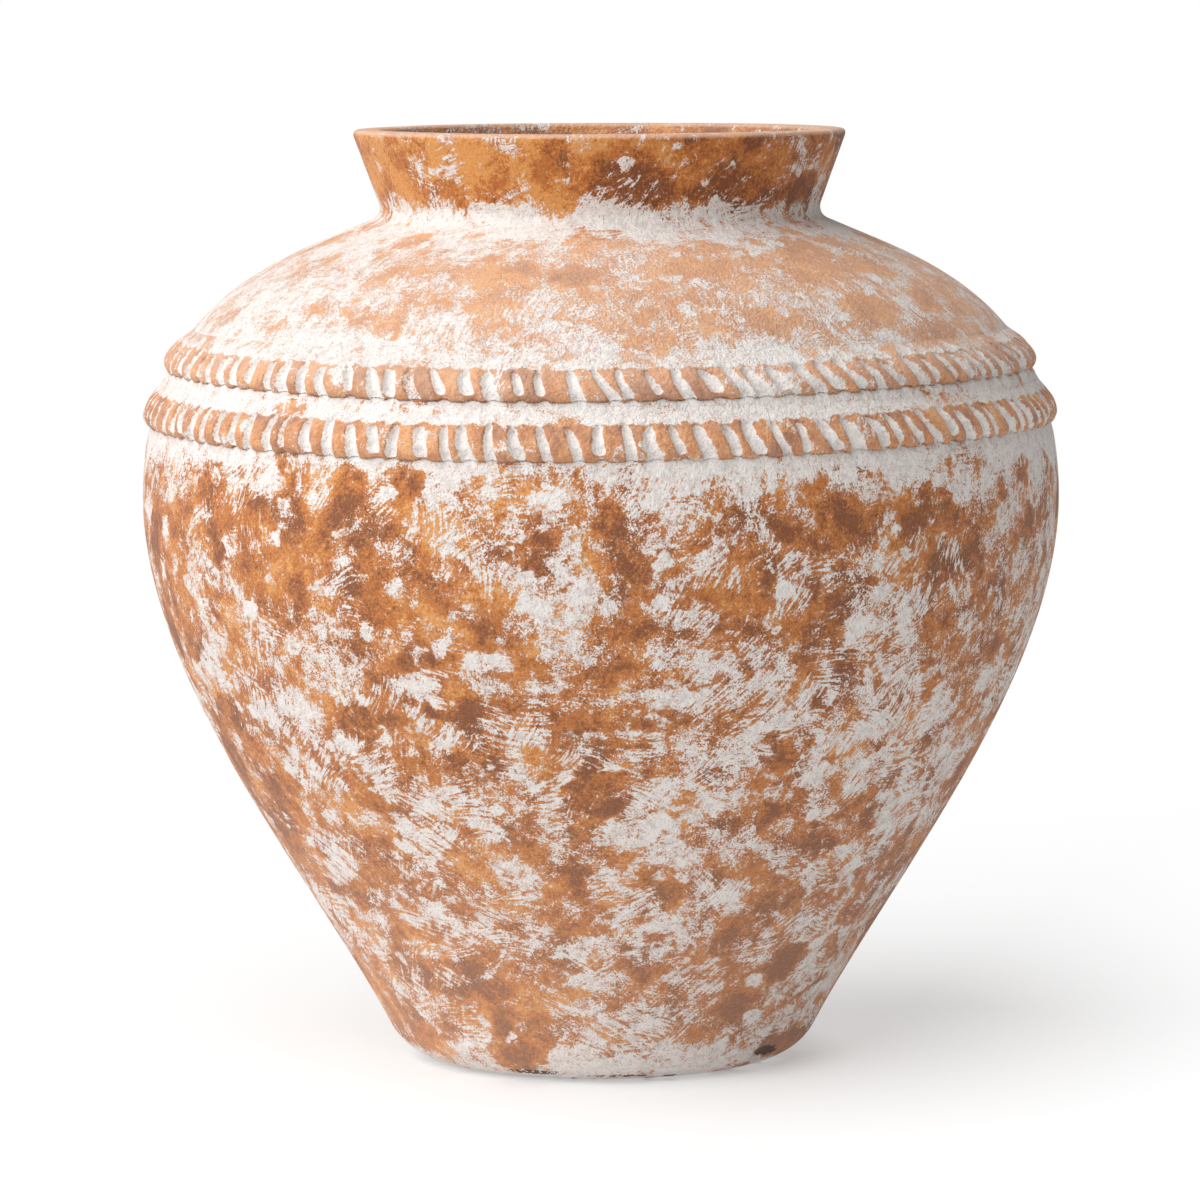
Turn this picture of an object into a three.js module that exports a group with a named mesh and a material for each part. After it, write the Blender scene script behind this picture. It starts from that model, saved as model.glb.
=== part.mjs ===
// A terracotta storage jar, built up the way a potter builds one. A floor disc carries four wall
// sections and a flared neck, which stand on each other in lapped seams. A coil fills the corner
// between floor and wall, and two notched rope coils are laid round the shoulder.
// Millimetres, +Z up. The origin is the centre of the flat underside.

import * as THREE from 'three';

// Foot and floor
const FOOT_RADIUS = 98.4; // where the line of the lower wall would meet the ground
const FOOT_EDGE_ROUND = 32; // radius of the rounded edge between underside and wall
const FLOOR_THICKNESS = 15;
const CORNER_COIL_ROUND = 26; // radius to which the coil in the floor's corner is smoothed

// Outline of the wall's outer face, with angles in degrees
const LOWER_WALL_LEAN = 27.3; // outwards from upright, just above the foot
const LOWER_WALL_FULLNESS = 75; // how far the wall keeps that lean before it bends upright
const BELLY_RADIUS = 228; // the widest place
const BELLY_HEIGHT = 280; // its height above the ground
const BELLY_FULLNESS_BELOW = 90; // how far the belly stays upright, downwards and upwards
const BELLY_FULLNESS_ABOVE = 92;
const THROAT_RADIUS = 107.8; // where the lines of shoulder and neck would meet
const THROAT_RISE = 139.6; // height of that place above the widest one
const THROAT_ROUND = 6.5; // radius of the hollow between shoulder and neck
const SHOULDER_SLOPE = 22.8; // from level, next to the throat
const SHOULDER_STRAIGHT = 19; // how far the shoulder runs straight at that slope
const SHOULDER_FULLNESS = 44.6; // how far the slope reaches on into the shoulder's curve
const NECK_FLARE = 20.1; // outwards from upright
const NECK_HEIGHT = 42.4; // from the corner at the throat to the lip

// Wall and lip
const WALL = 12; // thickness, square to the outer face
const LIP_THICKNESS = 15; // width of the neck's level top edge
const LIP_ROUND = 3; // radius of its two edges

// Seams
const SLIP = 0.3; // layer of luting slip between two pieces
const SEAM_LAP = 9; // how far one section laps the next, along the wall
const LOWER_SEAM_HEIGHT = 150; // between lower and middle wall
const BELLY_SEAM_DROP = 30; // from the widest place down to the seam below the belly
const NECK_SEAM_SETBACK = 5; // from the end of the neck's lap to the hollow of the throat

// Rope coils
const LOWER_ROPE_RISE = 46.5; // height of its middle above the widest place
const ROPE_WIDTH = 26; // along the wall
const ROPE_SPACING = 3.5; // bare wall between the two coils
const ROPE_PROUD = 5.4; // how far the ribs stand out of their seat
const NOTCH_PITCH = 12.2; // round the coil, from one rib to the next
const NOTCH_WIDTH = 5.4;
const NOTCH_DEPTH = 3.2;
const LOWER_NOTCH_LEAN = 27; // degrees from upright, to the left at the top
const UPPER_NOTCH_LEAN = 36;

// Facets
const ROUND_STEPS = 64; // round the jar
const OUTLINE_STEP = 28; // along the curves of the wall, at most
const CURVE_STEPS = 3; // in a rounded edge
const ROPE_FACETS = 4; // across the back of a rope coil

// Colours of the limewashed and the bare clay, as seen from a step away
const NECK_COLOUR = 0xb97a45;
const SHOULDER_COLOUR = 0xdab598;
const WALL_COLOUR = 0xcfa27b;
const ROPE_COLOUR = 0xd3ac8e;
const BARE_CLAY_COLOUR = 0xa9683f;
const CLAY_ROUGHNESS = 0.9;

const radians = THREE.MathUtils.degToRad;
const point = (radius, height) => new THREE.Vector2(radius, height);

// A point at a distance from another, in a direction in degrees from level outwards
function from(start, degrees, distance) {
  const direction = point(Math.cos(radians(degrees)), Math.sin(radians(degrees)));
  return start.clone().addScaledVector(direction, distance);
}

// Corners and joins of the outline
const wallDirection = 90 - LOWER_WALL_LEAN;
const shoulderDirection = 180 - SHOULDER_SLOPE;
const neckDirection = 90 - NECK_FLARE;
const throatTurn = shoulderDirection - neckDirection;
const footTangent = FOOT_EDGE_ROUND * Math.tan(radians(wallDirection / 2));
const throatTangent = THROAT_ROUND * Math.tan(radians(throatTurn / 2));
const wallStart = from(point(FOOT_RADIUS, 0), wallDirection, footTangent);
const belly = point(BELLY_RADIUS, BELLY_HEIGHT);
const throatCorner = point(THROAT_RADIUS, BELLY_HEIGHT + THROAT_RISE);
const shoulderEnd = from(throatCorner, shoulderDirection, -SHOULDER_STRAIGHT);
const throatStart = from(throatCorner, shoulderDirection, -throatTangent);
const throatCentre = from(throatStart, shoulderDirection - 90, THROAT_ROUND);
const lipCorner = from(throatCorner, neckDirection, NECK_HEIGHT / Math.cos(radians(NECK_FLARE)));

// The outer outline runs from the edge of the flat underside, up the wall and over the shoulder,
// round the hollow of the throat and up to the outer corner of the lip.
const outline = new THREE.Path();
outline.moveTo(FOOT_RADIUS - footTangent, 0);
outline.absarc(
  FOOT_RADIUS - footTangent,
  FOOT_EDGE_ROUND,
  FOOT_EDGE_ROUND,
  radians(-90),
  radians(wallDirection - 90),
);
outline.bezierCurveTo(
  ...from(wallStart, wallDirection, LOWER_WALL_FULLNESS),
  ...from(belly, 90, -BELLY_FULLNESS_BELOW),
  ...belly,
);
outline.bezierCurveTo(
  ...from(belly, 90, BELLY_FULLNESS_ABOVE),
  ...from(shoulderEnd, shoulderDirection, -SHOULDER_FULLNESS),
  ...shoulderEnd,
);
outline.lineTo(...throatStart);
outline.absarc(
  ...throatCentre,
  THROAT_ROUND,
  radians(shoulderDirection + 90),
  radians(neckDirection + 90),
  true,
);
outline.lineTo(...lipCorner);
const outlineLength = outline.getLength();

// The direction of the outline, upwards, at a distance along it
const wallTangent = (along) => outline.getTangent(along / outlineLength);

// The point at a distance along the outline and at a depth into the wall
function wallPoint(along, depth = 0) {
  const tangent = wallTangent(along);
  const inwards = point(-tangent.y, tangent.x);
  return outline.getPoint(along / outlineLength).addScaledVector(inwards, depth);
}

// The distance along the outline at which it reaches a height
function alongAt(height) {
  let low = 0;
  let high = outlineLength;
  while (high - low > 1e-6) {
    const middle = (low + high) / 2;
    if (wallPoint(middle).y < height) low = middle;
    else high = middle;
  }
  return low;
}

// Points of the wall at one depth, from one distance along the outline to another
function wallRun(start, end, depth, step = OUTLINE_STEP) {
  const count = Math.max(1, Math.ceil(Math.abs(end - start) / step));
  const share = (i) => start + ((end - start) * i) / count;
  return Array.from({ length: count + 1 }, (_, i) => wallPoint(share(i), depth));
}

// A corner rounded off, from the side of one neighbour to the side of the other
function rounded(before, corner, after, radius) {
  const toBefore = before.clone().sub(corner).normalize();
  const toAfter = after.clone().sub(corner).normalize();
  const reach = radius / Math.tan(toBefore.angleTo(toAfter) / 2);
  const curve = new THREE.QuadraticBezierCurve(
    corner.clone().addScaledVector(toBefore, reach),
    corner,
    corner.clone().addScaledVector(toAfter, reach),
  );
  return curve.getPoints(CURVE_STEPS);
}

// Each rope coil lies on a seat, where the wall is pared flat from edge to edge.
const bellyAlong = alongAt(BELLY_HEIGHT);
const lowerRopeMiddle = alongAt(BELLY_HEIGHT + LOWER_ROPE_RISE);
const upperRopeMiddle = lowerRopeMiddle + ROPE_WIDTH + ROPE_SPACING;
const seatAround = (middle) => ({ start: middle - ROPE_WIDTH / 2, end: middle + ROPE_WIDTH / 2 });
const lowerSeat = seatAround(lowerRopeMiddle);
const upperSeat = seatAround(upperRopeMiddle);
const seats = [lowerSeat, upperSeat];
const seatAt = (along) => seats.find((seat) => along > seat.start && along < seat.end);

// A point of the wall's outer face, seats included
function facePoint(along) {
  const seat = seatAt(along);
  if (!seat) return wallPoint(along);
  const share = (along - seat.start) / (seat.end - seat.start);
  return wallPoint(seat.start).lerp(wallPoint(seat.end), share);
}

// The outer face between two places, with a corner at the belly and at each seat's edges
function faceRun(start, end) {
  const corners = [bellyAlong, ...seats.flatMap((seat) => [seat.start, seat.end])];
  const stops = [start, ...corners.filter((stop) => stop > start && stop < end), end];
  const runs = stops.slice(1).map((stop, i) => {
    const flat = seatAt((stops[i] + stop) / 2);
    return flat ? [facePoint(stop)] : wallRun(stops[i], stop, 0).slice(1);
  });
  return [facePoint(start), ...runs.flat()];
}

// Seams. The inner half of the lower piece stands up behind the outer half of the upper one.
const lowerSeam = alongAt(LOWER_SEAM_HEIGHT);
const bellySeam = alongAt(BELLY_HEIGHT - BELLY_SEAM_DROP);
const shoulderSeam = upperRopeMiddle; // hidden behind the upper rope
const throatAlong = alongAt(throatStart.y);
const neckSeam = throatAlong - NECK_SEAM_SETBACK - SEAM_LAP;

// The top edge of the piece below a seam, from its outer to its inner face
const edgeBelow = (seam) => [
  facePoint(seam),
  wallPoint(seam, (WALL + SLIP) / 2),
  wallPoint(seam + SEAM_LAP, (WALL + SLIP) / 2),
  wallPoint(seam + SEAM_LAP, WALL),
];

// The bottom edge of the piece above it, from its inner to its outer face
const edgeAbove = (seam) => [
  wallPoint(seam + SEAM_LAP + SLIP, WALL),
  wallPoint(seam + SEAM_LAP + SLIP, (WALL - SLIP) / 2),
  wallPoint(seam + SLIP, (WALL - SLIP) / 2),
  facePoint(seam + SLIP),
];

// The inner face of the lower wall runs straight down to the floor beside the corner coil.
const standAlong = alongAt(FLOOR_THICKNESS + SLIP);
const straightAlong = standAlong + CORNER_COIL_ROUND;
const straightTop = wallPoint(straightAlong, WALL);
const straightTangent = wallTangent(straightAlong);
const straightDrop = (straightTop.y - FLOOR_THICKNESS - SLIP) / straightTangent.y;
const innerFoot = straightTop.clone().addScaledVector(straightTangent, -straightDrop);

// Closed profiles, each from a piece's outer bottom edge upwards and back down its inner side

function floorProfile() {
  const footStep = (FOOT_EDGE_ROUND * radians(wallDirection)) / CURVE_STEPS;
  return [
    point(0, 0),
    ...wallRun(0, alongAt(FLOOR_THICKNESS), 0, footStep),
    point(0, FLOOR_THICKNESS),
  ];
}

function cornerCoilProfile() {
  const corner = innerFoot.clone();
  corner.x -= SLIP / straightTangent.y;
  const floorSide = corner.clone().setX(0);
  const wallSide = corner.clone().add(straightTangent);
  return [corner, ...rounded(wallSide, corner, floorSide, CORNER_COIL_ROUND)];
}

function lowerWallProfile() {
  return [
    ...faceRun(standAlong, lowerSeam),
    ...edgeBelow(lowerSeam).slice(1),
    ...wallRun(lowerSeam + SEAM_LAP, straightAlong, WALL).slice(1),
    innerFoot,
  ];
}

function wallSectionProfile(seamBelow, seamAbove) {
  return [
    ...faceRun(seamBelow + SLIP, seamAbove),
    ...edgeBelow(seamAbove).slice(1),
    ...wallRun(seamAbove + SEAM_LAP, seamBelow + SEAM_LAP + SLIP, WALL).slice(1, -1),
    ...edgeAbove(seamBelow).slice(0, -1),
  ];
}

function neckProfile() {
  const throatArc = THROAT_ROUND * radians(throatTurn);
  const throatStep = throatArc / CURVE_STEPS;
  const outerThroat = wallRun(throatAlong, throatAlong + throatArc, 0, throatStep);
  const innerThroat = wallRun(throatAlong + throatArc, throatAlong, WALL, throatStep);
  const innerLip = point(lipCorner.x - LIP_THICKNESS, lipCorner.y);
  return [
    facePoint(neckSeam + SLIP),
    ...outerThroat,
    ...rounded(throatCorner, lipCorner, innerLip, LIP_ROUND),
    ...rounded(lipCorner, innerLip, innerThroat[0], LIP_ROUND),
    ...innerThroat,
    ...edgeAbove(neckSeam).slice(0, -1),
  ];
}

const clay = (color) =>
  new THREE.MeshStandardMaterial({ color, roughness: CLAY_ROUGHNESS, metalness: 0 });

// A piece turned on the wheel: a closed profile carried once round the jar's axis
function turned(name, profile, colour) {
  const geometry = new THREE.LatheGeometry([...profile, profile[0]], ROUND_STEPS);
  geometry.rotateX(Math.PI / 2);
  const mesh = new THREE.Mesh(geometry, clay(colour));
  mesh.name = name;
  return mesh;
}

// The places round a rope coil at which its section changes: both edges of each rib, where the
// coil is whole, and the bottom of each notch, where its back is pressed in
function ropeStations(radius) {
  const count = Math.round((2 * Math.PI * radius) / NOTCH_PITCH);
  const pitch = (2 * Math.PI) / count;
  const notch = NOTCH_WIDTH / radius;
  return Array.from({ length: count }, (_, i) => [
    { turn: i * pitch, proud: ROPE_PROUD },
    { turn: (i + 1) * pitch - notch, proud: ROPE_PROUD },
    { turn: (i + 1) * pitch - notch / 2, proud: ROPE_PROUD - NOTCH_DEPTH },
  ]).flat();
}

// A rope coil: half round in section, flat on its seat, with leaning notches across its back
function ropeCoil(name, seat, lean) {
  const low = wallPoint(seat.start);
  const high = wallPoint(seat.end);
  const upwards = high.clone().sub(low).normalize();
  const outwards = point(upwards.y, -upwards.x);
  const middle = low.clone().lerp(high, 0.5).addScaledVector(outwards, SLIP);
  const halfWidth = low.distanceTo(high) / 2;
  const stations = ropeStations(middle.x);

  const corners = stations.flatMap(({ turn, proud }) =>
    Array.from({ length: ROPE_FACETS + 1 }, (_, i) => {
      const angle = (Math.PI * i) / ROPE_FACETS;
      const rise = -Math.cos(angle) * halfWidth;
      const onEdge = i === 0 || i === ROPE_FACETS;
      const shift = onEdge ? 0 : (rise * Math.tan(radians(lean))) / middle.x;
      const place = middle.clone().addScaledVector(upwards, rise);
      place.addScaledVector(outwards, Math.sin(angle) * proud);
      return new THREE.Vector3().setFromCylindricalCoords(place.x, turn - shift, place.y);
    }),
  );

  const size = ROPE_FACETS + 1;
  const faces = stations.flatMap((_, i) =>
    Array.from({ length: size }, (_, j) => {
      const here = i * size;
      const next = ((i + 1) % stations.length) * size;
      const up = (j + 1) % size;
      return [here + j, next + j, here + up, next + up, here + up, next + j];
    }).flat(),
  );

  const geometry = new THREE.BufferGeometry().setFromPoints(corners);
  geometry.setIndex(faces);
  geometry.rotateX(Math.PI / 2);
  geometry.computeVertexNormals();
  const mesh = new THREE.Mesh(geometry, clay(ROPE_COLOUR));
  mesh.name = name;
  return mesh;
}

const jar = new THREE.Group();
jar.add(
  turned('floor_disc', floorProfile(), WALL_COLOUR),
  turned('floor_corner_coil', cornerCoilProfile(), BARE_CLAY_COLOUR),
  turned('lower_wall', lowerWallProfile(), WALL_COLOUR),
  turned('middle_wall', wallSectionProfile(lowerSeam, bellySeam), WALL_COLOUR),
  turned('belly_wall', wallSectionProfile(bellySeam, shoulderSeam), WALL_COLOUR),
  turned('shoulder', wallSectionProfile(shoulderSeam, neckSeam), SHOULDER_COLOUR),
  turned('neck', neckProfile(), NECK_COLOUR),
  ropeCoil('lower_rope', lowerSeat, LOWER_NOTCH_LEAN),
  ropeCoil('upper_rope', upperSeat, UPPER_NOTCH_LEAN),
);

export default jar;
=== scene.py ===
# A terracotta storage jar in worn white limewash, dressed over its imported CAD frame.
# Each CAD node is replaced by a fine mesh of the same outline, a little uneven as hand work is,
# with a material that grows over it in three dimensions.
#
# Lengths are in millimetres and become metres where a mesh is written. Those of the camera, the
# floor and its shadow are in metres. A place on the wall is given by its distance along the outer
# outline, its depth into the wall, and its turn round the axis, which is 0 at the front and grows
# towards the viewer's right.

import math
import random

import bpy
from mathutils import Euler, Matrix, Vector, noise


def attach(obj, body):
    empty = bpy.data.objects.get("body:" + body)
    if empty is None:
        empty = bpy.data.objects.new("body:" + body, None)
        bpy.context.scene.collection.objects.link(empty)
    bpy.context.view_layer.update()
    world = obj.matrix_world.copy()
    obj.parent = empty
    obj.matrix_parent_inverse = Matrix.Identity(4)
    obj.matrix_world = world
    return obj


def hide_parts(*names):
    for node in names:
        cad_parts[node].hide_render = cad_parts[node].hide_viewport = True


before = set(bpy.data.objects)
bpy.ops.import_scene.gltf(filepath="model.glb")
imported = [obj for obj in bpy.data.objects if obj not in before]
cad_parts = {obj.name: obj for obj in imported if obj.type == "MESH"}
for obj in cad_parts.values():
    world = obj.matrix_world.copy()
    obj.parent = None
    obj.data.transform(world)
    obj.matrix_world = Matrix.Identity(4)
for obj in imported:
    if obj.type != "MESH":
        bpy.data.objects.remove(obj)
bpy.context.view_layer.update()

MM = 0.001

# Outline of the wall, the same as the frame's
FOOT_RADIUS = 98.4
FOOT_EDGE_ROUND = 32
FLOOR_THICKNESS = 15
CORNER_COIL_ROUND = 26
LOWER_WALL_LEAN = 27.3
LOWER_WALL_FULLNESS = 75
BELLY_RADIUS = 228
BELLY_HEIGHT = 280
BELLY_FULLNESS_BELOW = 90
BELLY_FULLNESS_ABOVE = 92
THROAT_RADIUS = 107.8
THROAT_RISE = 139.6
THROAT_ROUND = 6.5
SHOULDER_SLOPE = 22.8
SHOULDER_STRAIGHT = 19
SHOULDER_FULLNESS = 44.6
NECK_FLARE = 20.1
NECK_HEIGHT = 42.4
WALL = 12
LIP_THICKNESS = 15
LIP_ROUND = 3

# Seams and rope seats, the same as the frame's
SEAM_LAP = 9
LOWER_SEAM_HEIGHT = 150
BELLY_SEAM_DROP = 30
NECK_SEAM_SETBACK = 5
LOWER_ROPE_RISE = 46.5
ROPE_WIDTH = 26
ROPE_SPACING = 3.5
ROPE_PROUD = 5.4

# Rope coils, pinched to the wall by hand, so that they sag a little at the front and the back
ROPE_LIFT = 0.05  # from the wall to the coils
BACK_INSET = 2  # from the foot of a coil to the first line across its flat back
ROPE_SAG = 4.2
ROPE_SAG_TURN = -0.26  # where they hang lowest, in radians to the right of the front
LOWER_ROPE_BAND = (-13.8, 2.8)  # ends of the ribbed part, from the middle, where it hangs lowest
UPPER_ROPE_BAND = (-14.8, 0.4)
BEAD_CREST = 0.42  # the highest line of a coil, as a share of the ribbed part
LEAST_PLUMPNESS = 0.8  # height of the flattest rib, as a share of the full height
FOOT_RIPPLE = 0.5  # how far the foot of a coil wanders up and down

# Rope notches, pressed in one by one with a round tool
NOTCH_PITCH = 12.2
NOTCH_WIDTH = 6.6
NOTCH_DEPTH = 2.9
NOTCH_STRAY = 0.17  # how far a notch strays from its even place, as a share of the pitch
NOTCH_FLOOR = 0.5  # thickness of the coil that the deepest notch leaves
LOWER_NOTCH_LEAN = 16
UPPER_NOTCH_LEAN = 23
LEAN_SWING = 17  # how much more they lean on the right and less on the left
LEAN_MIDDLE = 0.35  # share of a coil's width about which the mesh leans with the ribs
SCALLOP = 1.1  # how far the foot of a coil draws back under a notch
LOWER_ROPE_SEED = 11
UPPER_ROPE_SEED = 23

# Hand work
UNEVEN_WIDE = 0.7  # how far the wall stands back in its broad dents
UNEVEN_WIDE_SIZE = 110
UNEVEN_FINE = 0.25  # and in its fine ones
UNEVEN_FINE_SIZE = 26
FOOT_FADE = 20  # the unevenness grows from nothing over this height
LIP_DIP = 0.4  # how far the lip dips from level
LIP_DIP_SIZE = 70
LIP_DIP_FROM = 440  # height at which the dip starts, to grow towards the lip
RING_DEPTH = 0.45  # of the finger rings inside
RING_PITCH = 13

# Old damage at the front of the foot, each an ellipse: its middle to the right and its height,
# then its half width and half height. The slit is only painted shadow, of a gap under the foot,
# and the dark middle of the hollow is painted shade.
FOOT_SLIT_SHADOW = (8, 3.4, 17, 1.0)
FOOT_CHIPS = (-33, 5, 15, 1.6)
FOOT_HOLLOW = (80, 10.5, 6.2, 3.4)
FOOT_WORN = (91, 11, 17, 9)  # where the wash is worn off beside the hollow
HOLLOW_DEPTH = 2.2
HOLLOW_SLOPE = 1.7  # how much wider the hollow is than the painted shade in its middle

# Fineness of the meshes
ROUND_STEPS = 192
OUTER_STEP = 4.5
INNER_STEP = 4
EDGE_STEP = 1.6  # round the foot and in the throat
SEAM_BORDER = 0.3  # a narrow row beside each seam, so that the light runs on over it
TANGENT_SPAN = 0.4  # how far to either side the wall's direction is taken
ROPE_STEPS_PER_NOTCH = 12
ROPE_ROWS = 26

# Camera, fitted to the photograph
CAMERA_DISTANCE = 3.076
CAMERA_HEIGHT = 0.5373
CAMERA_ASIDE = -0.0006
CAMERA_PITCH = 5.756
CAMERA_ROLL = -0.22
CAMERA_LENS = 186
CAMERA_SENSOR = 36


# Outline

def radial(radius, height):
    return Vector((radius, height))


def from_point(start, degrees, distance):
    angle = math.radians(degrees)
    return start + radial(math.cos(angle), math.sin(angle)) * distance


def arc_points(centre, radius, start, end, count):
    turns = (start + (end - start) * i / count for i in range(count + 1))
    return [from_point(centre, degrees, radius) for degrees in turns]


def bezier_points(a, b, c, d, count):
    shares = (i / count for i in range(count + 1))
    return [
        a * (1 - t) ** 3 + b * 3 * t * (1 - t) ** 2 + c * 3 * t * t * (1 - t) + d * t**3
        for t in shares
    ]


WALL_DIRECTION = 90 - LOWER_WALL_LEAN
SHOULDER_DIRECTION = 180 - SHOULDER_SLOPE
NECK_DIRECTION = 90 - NECK_FLARE
THROAT_TURN = SHOULDER_DIRECTION - NECK_DIRECTION
FOOT_TANGENT = FOOT_EDGE_ROUND * math.tan(math.radians(WALL_DIRECTION / 2))
THROAT_TANGENT = THROAT_ROUND * math.tan(math.radians(THROAT_TURN / 2))

wall_start = from_point(radial(FOOT_RADIUS, 0), WALL_DIRECTION, FOOT_TANGENT)
belly = radial(BELLY_RADIUS, BELLY_HEIGHT)
throat_corner = radial(THROAT_RADIUS, BELLY_HEIGHT + THROAT_RISE)
shoulder_end = from_point(throat_corner, SHOULDER_DIRECTION, -SHOULDER_STRAIGHT)
throat_start = from_point(throat_corner, SHOULDER_DIRECTION, -THROAT_TANGENT)
throat_centre = from_point(throat_start, SHOULDER_DIRECTION - 90, THROAT_ROUND)
lip_corner = from_point(
    throat_corner, NECK_DIRECTION, NECK_HEIGHT / math.cos(math.radians(NECK_FLARE))
)
foot_centre = radial(FOOT_RADIUS - FOOT_TANGENT, FOOT_EDGE_ROUND)

CURVE_COUNT = 600
outline = [
    *arc_points(foot_centre, FOOT_EDGE_ROUND, -90, WALL_DIRECTION - 90, CURVE_COUNT),
    *bezier_points(
        wall_start,
        from_point(wall_start, WALL_DIRECTION, LOWER_WALL_FULLNESS),
        from_point(belly, 90, -BELLY_FULLNESS_BELOW),
        belly,
        CURVE_COUNT,
    )[1:],
    *bezier_points(
        belly,
        from_point(belly, 90, BELLY_FULLNESS_ABOVE),
        from_point(shoulder_end, SHOULDER_DIRECTION, -SHOULDER_FULLNESS),
        shoulder_end,
        CURVE_COUNT,
    )[1:],
    *arc_points(
        throat_centre, THROAT_ROUND, SHOULDER_DIRECTION + 90, NECK_DIRECTION + 90, CURVE_COUNT
    ),
    lip_corner,
]
distances = [0.0]
for before, after in zip(outline, outline[1:]):
    distances.append(distances[-1] + (after - before).length)
OUTLINE_LENGTH = distances[-1]


def outline_point(along):
    """The point of the outer outline at a distance along it."""
    along = min(max(along, 0), OUTLINE_LENGTH)
    low, high = 0, len(distances) - 1
    while high - low > 1:
        middle = (low + high) // 2
        if distances[middle] <= along:
            low = middle
        else:
            high = middle
    share = (along - distances[low]) / (distances[high] - distances[low])
    return outline[low].lerp(outline[high], share)


def wall_tangent(along):
    ahead = outline_point(min(along + TANGENT_SPAN, OUTLINE_LENGTH))
    behind = outline_point(max(along - TANGENT_SPAN, 0))
    return (ahead - behind).normalized()


def wall_point(along, depth=0):
    tangent = wall_tangent(along)
    return outline_point(along) + radial(-tangent.y, tangent.x) * depth


def along_at(height):
    low, high = 0, OUTLINE_LENGTH
    while high - low > 1e-6:
        middle = (low + high) / 2
        if outline_point(middle).y < height:
            low = middle
        else:
            high = middle
    return low


lower_rope_middle = along_at(BELLY_HEIGHT + LOWER_ROPE_RISE)
upper_rope_middle = lower_rope_middle + ROPE_WIDTH + ROPE_SPACING
seats = [
    (middle - ROPE_WIDTH / 2, middle + ROPE_WIDTH / 2)
    for middle in (lower_rope_middle, upper_rope_middle)
]
floor_along = along_at(FLOOR_THICKNESS)
lower_seam = along_at(LOWER_SEAM_HEIGHT)
belly_seam = along_at(BELLY_HEIGHT - BELLY_SEAM_DROP)
shoulder_seam = upper_rope_middle
throat_along = along_at(throat_start.y)
neck_seam = throat_along - NECK_SEAM_SETBACK - SEAM_LAP
throat_end = throat_along + THROAT_ROUND * math.radians(THROAT_TURN)


def face_point(along):
    """A point of the wall's outer face, which is pared flat under each rope."""
    for start, end in seats:
        if start < along < end:
            share = (along - start) / (end - start)
            return wall_point(start).lerp(wall_point(end), share)
    return wall_point(along)


def spread(start, end, step):
    """Distances from start to end, evenly spaced at most a step apart, both ends included."""
    count = max(1, math.ceil(abs(end - start) / step))
    return [start + (end - start) * i / count for i in range(count + 1)]


def bordered(start, end, step):
    """The same with a narrow row beside each end."""
    border = math.copysign(SEAM_BORDER, end - start)
    return [start, *spread(start + border, end - border, step), end]


def outer_run(start, end, step=OUTER_STEP):
    return [face_point(along) for along in bordered(start, end, step)]


def inner_point(along):
    """A point of the inner face, with the rings that the potter's fingers leave."""
    swell = 0.5 - 0.5 * math.cos(2 * math.pi * along / RING_PITCH)
    return wall_point(along, WALL + RING_DEPTH * swell)


def inner_run(start, end):
    return [inner_point(along) for along in bordered(start, end, INNER_STEP)]


def round_corner(before, corner, after, radius, count=5):
    to_before = (before - corner).normalized()
    to_after = (after - corner).normalized()
    reach = radius / math.tan(to_before.angle(to_after) / 2)
    start = corner + to_before * reach
    end = corner + to_after * reach
    shares = [i / count for i in range(count + 1)]
    return [start * (1 - t) ** 2 + corner * 2 * t * (1 - t) + end * t * t for t in shares]


def between(start, end, step):
    """Points that divide a straight stretch, without its ends."""
    count = math.ceil((end - start).length / step)
    return [start.lerp(end, i / count) for i in range(1, count)]


# Profiles of the turned pieces: the outer face upwards, then the inner face back down

def edge_below(seam):
    """The lap at the top of the piece below a seam, from outside to inside."""
    return [wall_point(seam, WALL / 2), wall_point(seam + SEAM_LAP, WALL / 2)]


def edge_above(seam):
    """The lap at the bottom of the piece above it, from inside to outside."""
    return edge_below(seam)[::-1]


straight_along = floor_along + CORNER_COIL_ROUND
straight_top = inner_point(straight_along)
straight_tangent = wall_tangent(straight_along)
inner_foot = straight_top - straight_tangent * (
    (straight_top.y - FLOOR_THICKNESS) / straight_tangent.y
)


def floor_faces():
    flat = foot_centre.x
    underside = [radial(flat * share, 0) for share in (0, 0.25, 0.5, 0.75)]
    edge = [outline_point(along) for along in spread(0, floor_along, EDGE_STEP)]
    top = [radial(radius, FLOOR_THICKNESS) for radius in spread(edge[-1].x, 0, INNER_STEP)]
    return underside + edge, top[1:]


def corner_coil_faces():
    floor_side = radial(0, FLOOR_THICKNESS)
    wall_side = inner_foot + straight_tangent
    back = round_corner(wall_side, inner_foot, floor_side, CORNER_COIL_ROUND, count=12)
    return [inner_foot, back[0]], back[1:]


def lower_wall_faces():
    outer = outer_run(floor_along, lower_seam)
    inner = edge_below(lower_seam) + inner_run(lower_seam + SEAM_LAP, straight_along)
    return outer, inner + [inner_foot]


def wall_section_faces(seam_below, seam_above):
    outer = outer_run(seam_below, seam_above)
    inner = inner_run(seam_above + SEAM_LAP, seam_below + SEAM_LAP)
    return outer, edge_below(seam_above) + inner + edge_above(seam_below)


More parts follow.
